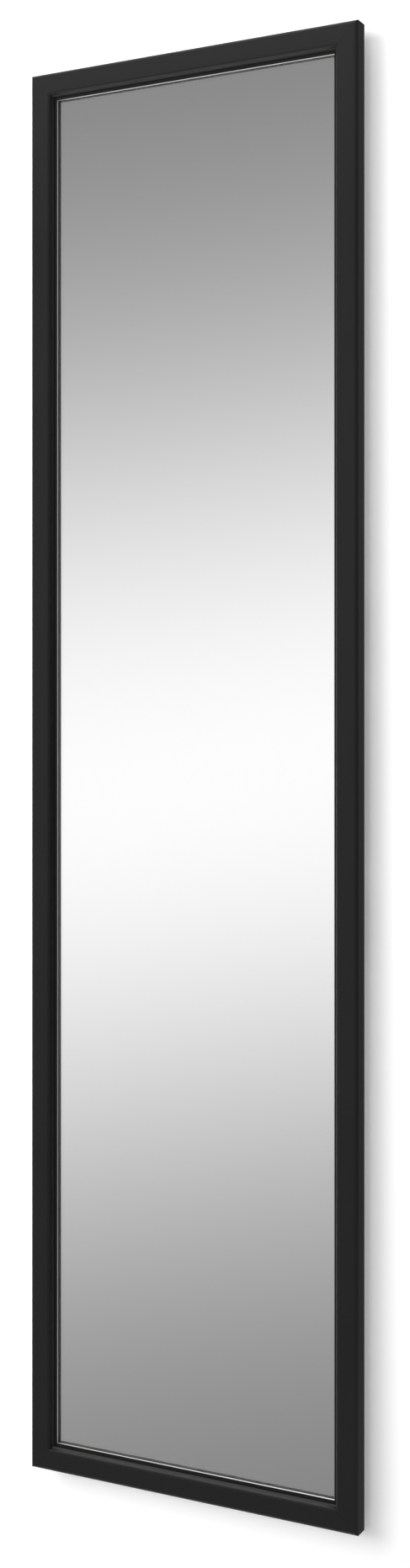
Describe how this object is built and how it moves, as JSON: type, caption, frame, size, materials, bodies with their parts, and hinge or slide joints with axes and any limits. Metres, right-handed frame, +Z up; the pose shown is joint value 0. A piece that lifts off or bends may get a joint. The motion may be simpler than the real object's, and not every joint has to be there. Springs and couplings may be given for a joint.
{
  "type": "pull-out closet mirror",
  "caption": "Tall framed mirror that slides out of a closet on a ball-bearing runner and swivels a quarter turn to face the user.",
  "frame": {"origin": "on the slide's mounting face, behind the middle of the closed mirror", "axes": "+Z up, +Y into the closet's side panel, +X the way the mirror pulls out; the glass faces -Y"},
  "size_m": [0.304, 0.0295, 1.2],
  "materials": {
    "frame": "matte black powder coat on aluminium extrusion",
    "mirror": "polished float glass, silvered at the back",
    "backing": "grey safety backing",
    "bead": "black flexible glazing bead",
    "key": "plain extruded aluminium",
    "slide": "bright zinc-plated roll-formed steel",
    "cage": "zinc-plated strip with polished balls",
    "stop": "black moulded plastic",
    "carrier": "matte black powder-coated sheet steel",
    "hinge": "matte black powder-coated steel",
    "pin": "zinc-plated steel",
    "screw": "zinc-plated steel",
    "set_screw": "black oxide steel",
    "bumper": "black rubber"
  },
  "bodies": {
    "panel_side": {"slide_outer_member": "slide", "slide_rear_stop": "stop"},
    "outer_cage": {"ball_cage_outer": "cage"},
    "middle_member": {"slide_middle_member": "slide"},
    "inner_cage": {"ball_cage_inner": "cage"},
    "carriage": {"slide_inner_member": "slide", "carrier_plate": "carrier", "bumper_lower": "bumper", "bumper_upper": "bumper", "hinge_lower_fixed_leaf": "hinge", "hinge_upper_fixed_leaf": "hinge", "hinge_lower_pin": "pin", "hinge_upper_pin": "pin", "carrier_screw_1": "screw", "carrier_screw_2": "screw", "carrier_screw_3": "screw", "carrier_screw_4": "screw", "leaf_screw_1": "screw", "leaf_screw_2": "screw", "leaf_screw_3": "screw", "leaf_screw_4": "screw"},
    "mirror": {"frame_left_stile": "frame", "frame_top_rail": "frame", "frame_right_stile": "frame", "frame_bottom_rail": "frame", "corner_key_bottom_left": "key", "corner_key_top_left": "key", "corner_key_top_right": "key", "corner_key_bottom_right": "key", "set_screw_left_1": "set_screw", "set_screw_left_2": "set_screw", "set_screw_top_1": "set_screw", "set_screw_top_2": "set_screw", "set_screw_right_1": "set_screw", "set_screw_right_2": "set_screw", "set_screw_bottom_1": "set_screw", "set_screw_bottom_2": "set_screw", "mirror_glass": "mirror", "safety_backing": "backing", "glazing_bead_left": "bead", "glazing_bead_top": "bead", "glazing_bead_right": "bead", "glazing_bead_bottom": "bead", "hinge_lower_moving_leaf": "hinge", "hinge_upper_moving_leaf": "hinge", "stile_screw_1": "screw", "stile_screw_2": "screw", "stile_screw_3": "screw", "stile_screw_4": "screw"}
  },
  "joints": [
    {"name": "pull_out", "type": "slide", "parent": "panel_side", "child": "carriage", "axis": [1, 0, 0], "range_m": [0, 0.25]},
    {"name": "middle_member_slide", "type": "slide", "parent": "panel_side", "child": "middle_member", "axis": [1, 0, 0], "range_m": [0, 0.125]},
    {"name": "outer_cage_roll", "type": "slide", "parent": "panel_side", "child": "outer_cage", "axis": [1, 0, 0], "range_m": [0, 0.0625]},
    {"name": "inner_cage_roll", "type": "slide", "parent": "panel_side", "child": "inner_cage", "axis": [1, 0, 0], "range_m": [0, 0.1875]},
    {"name": "mirror_swivel", "type": "hinge", "parent": "carriage", "child": "mirror", "pos_m": [0.144, -0.0108, 0], "axis": [0, 0, 1], "range_deg": [0, 90]}
  ],
  "couplings": [
    {"joint": "middle_member_slide", "follows": "pull_out", "ratio": 0.5},
    {"joint": "outer_cage_roll", "follows": "pull_out", "ratio": 0.25},
    {"joint": "inner_cage_roll", "follows": "pull_out", "ratio": 0.75}
  ]
}
